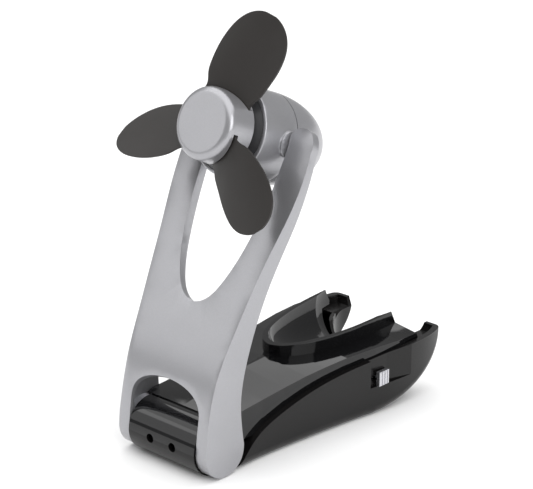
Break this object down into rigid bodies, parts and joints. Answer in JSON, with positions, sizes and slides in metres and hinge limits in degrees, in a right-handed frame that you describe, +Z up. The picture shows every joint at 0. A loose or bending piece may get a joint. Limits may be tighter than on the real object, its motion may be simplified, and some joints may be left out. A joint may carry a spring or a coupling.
{
  "type": "folding electric fan",
  "caption": "Battery fan with a folding fork arm, a tilting motor head, a soft-bladed rotor, a sliding switch and a hollow base.",
  "frame": {"origin": "on the floor under the middle of the hinge between the base and the arm", "axes": "+X towards the side with the slide switch, -Y towards the front where the fan blows, +Z up"},
  "size_m": [0.0965, 0.1617, 0.2062],
  "materials": {
    "silver_plastic": "satin metallic lacquer",
    "bright_silver_plastic": "bright metallic lacquer",
    "gloss_black_plastic": "high gloss",
    "charcoal_plastic": "semi gloss",
    "dark_plastic": "satin",
    "black_plastic": "matte",
    "soft_blade": "matte, flexible sheet",
    "battery_jacket": "lacquered jacket",
    "spring_steel": "plated",
    "motor_metal": "plated",
    "bearing_brass": "machined"
  },
  "bodies": {
    "base": {"lower_shell": "charcoal_plastic", "upper_deck": "gloss_black_plastic", "battery_1": "battery_jacket", "battery_2": "battery_jacket", "battery_contact_front": "spring_steel", "battery_contact_rear": "spring_steel", "switch_body": "black_plastic", "case_screws": "spring_steel", "hinge_pin_right": "spring_steel", "hinge_pin_left": "spring_steel", "friction_washers": "black_plastic"},
    "arm": {"arm_front_shell": "silver_plastic", "arm_back_cover": "silver_plastic", "pivot_pin_right": "spring_steel", "pivot_pin_left": "spring_steel"},
    "head": {"head_housing": "silver_plastic", "head_rear_cover": "silver_plastic", "collar_ring": "dark_plastic", "motor_can": "motor_metal", "motor_end_cap": "black_plastic", "motor_bearing": "bearing_brass"},
    "rotor": {"motor_shaft": "spring_steel", "blade_carrier": "black_plastic", "spinner_cap": "silver_plastic", "blade_1": "soft_blade", "blade_2": "soft_blade", "blade_3": "soft_blade"},
    "switch": {"switch_knob": "bright_silver_plastic"},
    "lid": {"battery_lid": "charcoal_plastic"}
  },
  "joints": [
    {"name": "arm_fold", "type": "hinge", "parent": "base", "child": "arm", "pos_m": [0, 0, 0.0126], "axis": [1, 0, 0], "range_deg": [-58.5, 0]},
    {"name": "head_tilt", "type": "hinge", "parent": "arm", "child": "head", "pos_m": [0, 0.04949, 0.14541], "axis": [-1, 0, 0], "range_deg": [-6, 99.6]},
    {"name": "rotor_spin", "type": "hinge", "parent": "head", "child": "rotor", "pos_m": [0, 0.04949, 0.14541], "axis": [0, -0.9278, 0.373], "continuous": true},
    {"name": "switch_slide", "type": "slide", "parent": "base", "child": "switch", "axis": [0, -1, 0], "range_m": [0, 0.0036]},
    {"name": "lid_slide", "type": "slide", "parent": "base", "child": "lid", "axis": [0, 1, 0], "range_m": [0, 0.007]}
  ]
}
